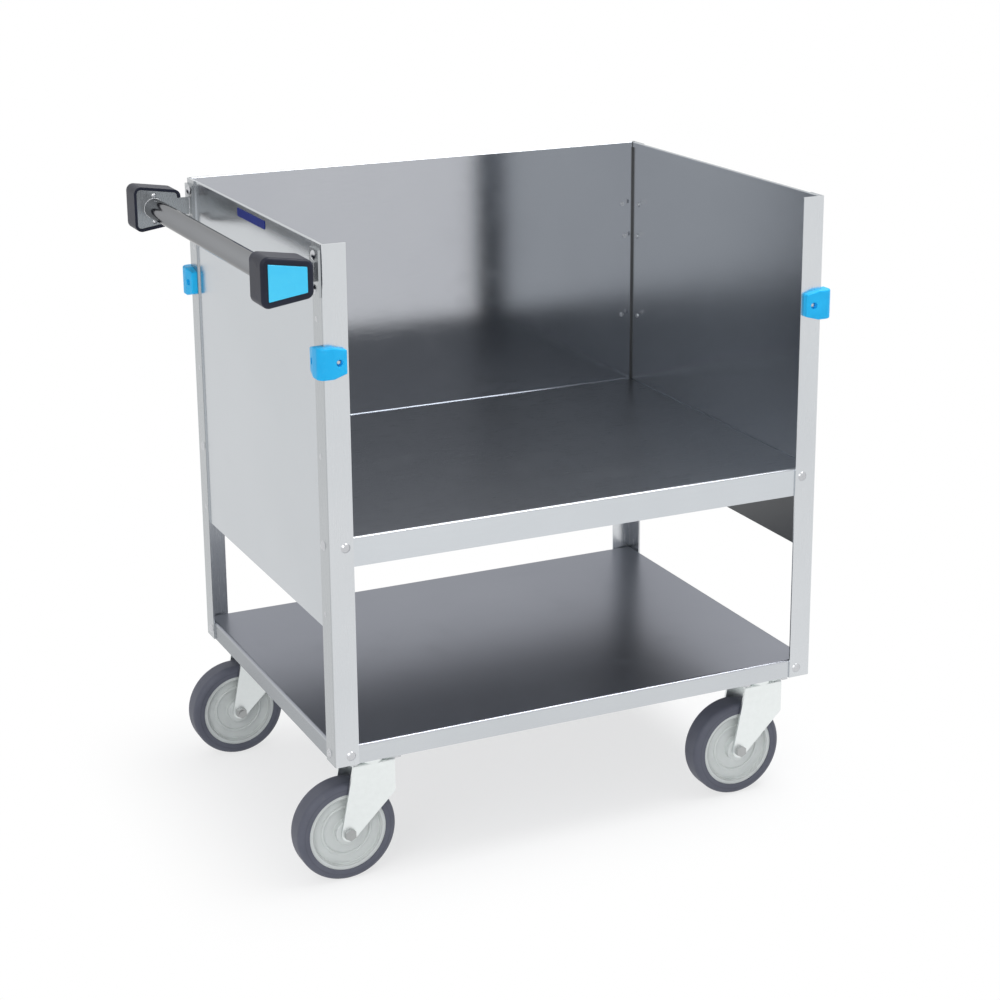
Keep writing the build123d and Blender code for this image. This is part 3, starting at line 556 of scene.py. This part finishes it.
# by the whole name of a node, else by its ending, else it is a fastener
nodeFinish = {
    "upper_shelf": "upperShelf", "lower_shelf": "lowerShelf",
    "upper_shelf_stiffeners": "channel", "caster_channels": "channel",
    "back_panel": "backPanel", "left_end_panel": "endPanel", "right_end_panel": "endPanel",
    "handle_tube": "tube",
}
endings = {
    "_post": "post", "_leg_bumper": "bumper",
    "_handle_arm": "post", "_handle_cap": "cap", "_handle_insert": "insert",
    "_caster_plate": "zinc", "_fork": "zinc", "_axle": "axle", "_wheel_core": "core", "_tyre": "tyre",
}
for name, node in nodes.items():
    byEnding = [finish for ending, finish in endings.items() if name.endswith(ending)]
    finish = nodeFinish.get(name) or (byEnding[0] if byEnding else "fastener")
    node.data.materials.clear()
    node.data.materials.append(finishes[finish])
print("finishes set on", len(nodes), "nodes")


def addPiece(name, mesh, material, body):
    mesh.materials.clear()
    mesh.materials.append(material)
    piece = bpy.data.objects.new(name, mesh)
    scene.collection.objects.link(piece)
    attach(piece, body)
    return piece


# blank name strip on the outside of the end panel, under the handle
stripSet = {
    "middle": -0.004,
    "below": 0.0115,  # from the top edge to the middle
    "size": (0.1, 0.0105),
    "thickness": 0.0006,
    "bed": 0.0001,  # sunk into the panel
    "corner": (0.002, 5),  # radius and steps
    "rim": (0.00015, 2),
    "flat": 1e-6,  # tolerance that finds the outer face
}


def makeStrip(values):
    shape = bmesh.new()
    bmesh.ops.create_cube(shape, size=1.0)
    depth = values["thickness"] + values["bed"]
    bmesh.ops.scale(shape, vec=(depth, *values["size"]), verts=shape.verts)
    low, high = nodeBox("left_end_panel")[:2]
    middle = (low.x - values["thickness"] / 2 + values["bed"] / 2, values["middle"], high.z - values["below"])
    bmesh.ops.translate(shape, vec=middle, verts=shape.verts)

    def roundOff(edges, radius, steps):
        bmesh.ops.bevel(shape, geom=edges, offset=radius, segments=steps, profile=0.5, affect="EDGES")

    roundOff([e for e in shape.edges if abs(e.verts[0].co.x - e.verts[1].co.x) > depth / 2], *values["corner"])
    outer = min(v.co.x for v in shape.verts)
    rim = [e for e in shape.edges if all(abs(v.co.x - outer) < values["flat"] for v in e.verts)]
    roundOff(rim, *values["rim"])
    bmesh.ops.recalc_face_normals(shape, faces=shape.faces)
    mesh = bpy.data.meshes.new("name_strip")
    shape.to_mesh(mesh)
    shape.free()
    return mesh


stripFinish = mouldedMaterial(
    "stripNavy", (0.014, 0.026, 0.19, 1), (0.02, 0.036, 0.24, 1), (0.05, 0.07, 0.27, 1), (0.45, 0.6),
    specular=0.06,
)
addPiece("name_strip", makeStrip(stripSet), stripFinish, "frame")
print("name strip made")

# weld beads round the tube ends and down the roots of the handle arms
weldSet = {
    "armThickness": 0.003,
    "rootHalf": 0.0105,  # half the height of an arm's root
    "ringSteps": 48,
    "bead": 0.00075,
    "beadFacets": (8, 5),  # round and up
    "beadSize": (0.82, 1.0),  # least and most
    "spacing": 0.0009,
    "seed": 7,
}


def makeBeadTree(values):
    tree = bpy.data.node_groups.new("beadRun", "GeometryNodeTree")
    addSocket = tree.interface.new_socket
    addSocket("Path", in_out="INPUT", socket_type="NodeSocketGeometry")
    kinds = {"Bead": "Float", "Spacing": "Float", "Seed": "Int", "Finish": "Material"}
    for name, kind in kinds.items():
        addSocket(name, in_out="INPUT", socket_type="NodeSocket" + kind)
    addSocket("Beads", in_out="OUTPUT", socket_type="NodeSocketGeometry")
    entry = tree.nodes.new("NodeGroupInput").outputs
    leave = tree.nodes.new("NodeGroupOutput").inputs
    curve = tree.nodes.new("GeometryNodeMeshToCurve")
    steps = tree.nodes.new("GeometryNodeResampleCurve")
    steps.mode = "LENGTH"
    dome = tree.nodes.new("GeometryNodeMeshUVSphere")
    dome.inputs["Segments"].default_value, dome.inputs["Rings"].default_value = values["beadFacets"]
    jitter = tree.nodes.new("FunctionNodeRandomValue")
    jitter.data_type = "FLOAT"
    jitter.inputs[2].default_value, jitter.inputs[3].default_value = values["beadSize"]
    spread = tree.nodes.new("GeometryNodeInstanceOnPoints")
    solid = tree.nodes.new("GeometryNodeRealizeInstances")
    paint = tree.nodes.new("GeometryNodeSetMaterial")
    for source, target in (
        (entry["Path"], curve.inputs["Mesh"]),
        (curve.outputs["Curve"], steps.inputs["Curve"]),
        (entry["Spacing"], steps.inputs["Length"]),
        (entry["Bead"], dome.inputs["Radius"]),
        (entry["Seed"], jitter.inputs["Seed"]),
        (steps.outputs["Curve"], spread.inputs["Points"]),
        (dome.outputs["Mesh"], spread.inputs["Instance"]),
        (jitter.outputs[1], spread.inputs["Scale"]),
        (spread.outputs["Instances"], solid.inputs["Geometry"]),
        (solid.outputs["Geometry"], paint.inputs["Geometry"]),
        (entry["Finish"], paint.inputs["Material"]),
        (paint.outputs["Geometry"], leave["Beads"]),
    ):
        tree.links.new(source, target)
    return tree


# rings and straight runs that the beads follow, the same at both ends of the handle
def makeWeldPath(values):
    points, edges = [], []
    tubeHigh, tube = nodeBox("handle_tube")[1:]
    radius = tubeHigh.x - tube.x
    inner, outer = tubeHigh.y, tubeHigh.y + values["armThickness"]
    root = nodeBox("front_left_post")[0].x - values["armThickness"]
    count = values["ringSteps"]
    for end in (-1, 1):
        first = len(points)
        for step in range(count):
            angle = 2 * math.pi * step / count
            points.append((tube.x + radius * math.cos(angle), end * inner, tube.z + radius * math.sin(angle)))
            edges.append((first + step, first + (step + 1) % count))
        for side in (inner, outer):
            first = len(points)
            points.append((root, end * side, tube.z - values["rootHalf"]))
            points.append((root, end * side, tube.z + values["rootHalf"]))
            edges.append((first, first + 1))
    path = bpy.data.meshes.new("weldPath")
    path.from_pydata(points, edges, [])
    return path


def makeWelds(values, finish):
    guide = bpy.data.objects.new("weldGuide", makeWeldPath(values))
    scene.collection.objects.link(guide)
    modifier = guide.modifiers.new("beads", "NODES")
    tree = makeBeadTree(values)
    settings = {"Bead": values["bead"], "Spacing": values["spacing"], "Seed": values["seed"], "Finish": finish}
    sockets = [item for item in tree.interface.items_tree if item.in_out == "INPUT" and item.name in settings]
    for socket in sockets:
        socket.default_value = settings[socket.name]
    modifier.node_group = tree
    for socket in sockets:
        modifier[socket.identifier] = settings[socket.name]
    mesh = bpy.data.meshes.new_from_object(guide.evaluated_get(bpy.context.evaluated_depsgraph_get()))
    mesh.name = "handle_welds"
    mesh.polygons.foreach_set("use_smooth", [True] * len(mesh.polygons))
    bpy.data.objects.remove(guide)
    return mesh


weldMesh = makeWelds(weldSet, finishes["fastener"])
welds = addPiece("handle_welds", weldMesh, finishes["fastener"], "frame")
print("welds made:", len(welds.data.polygons), "faces")
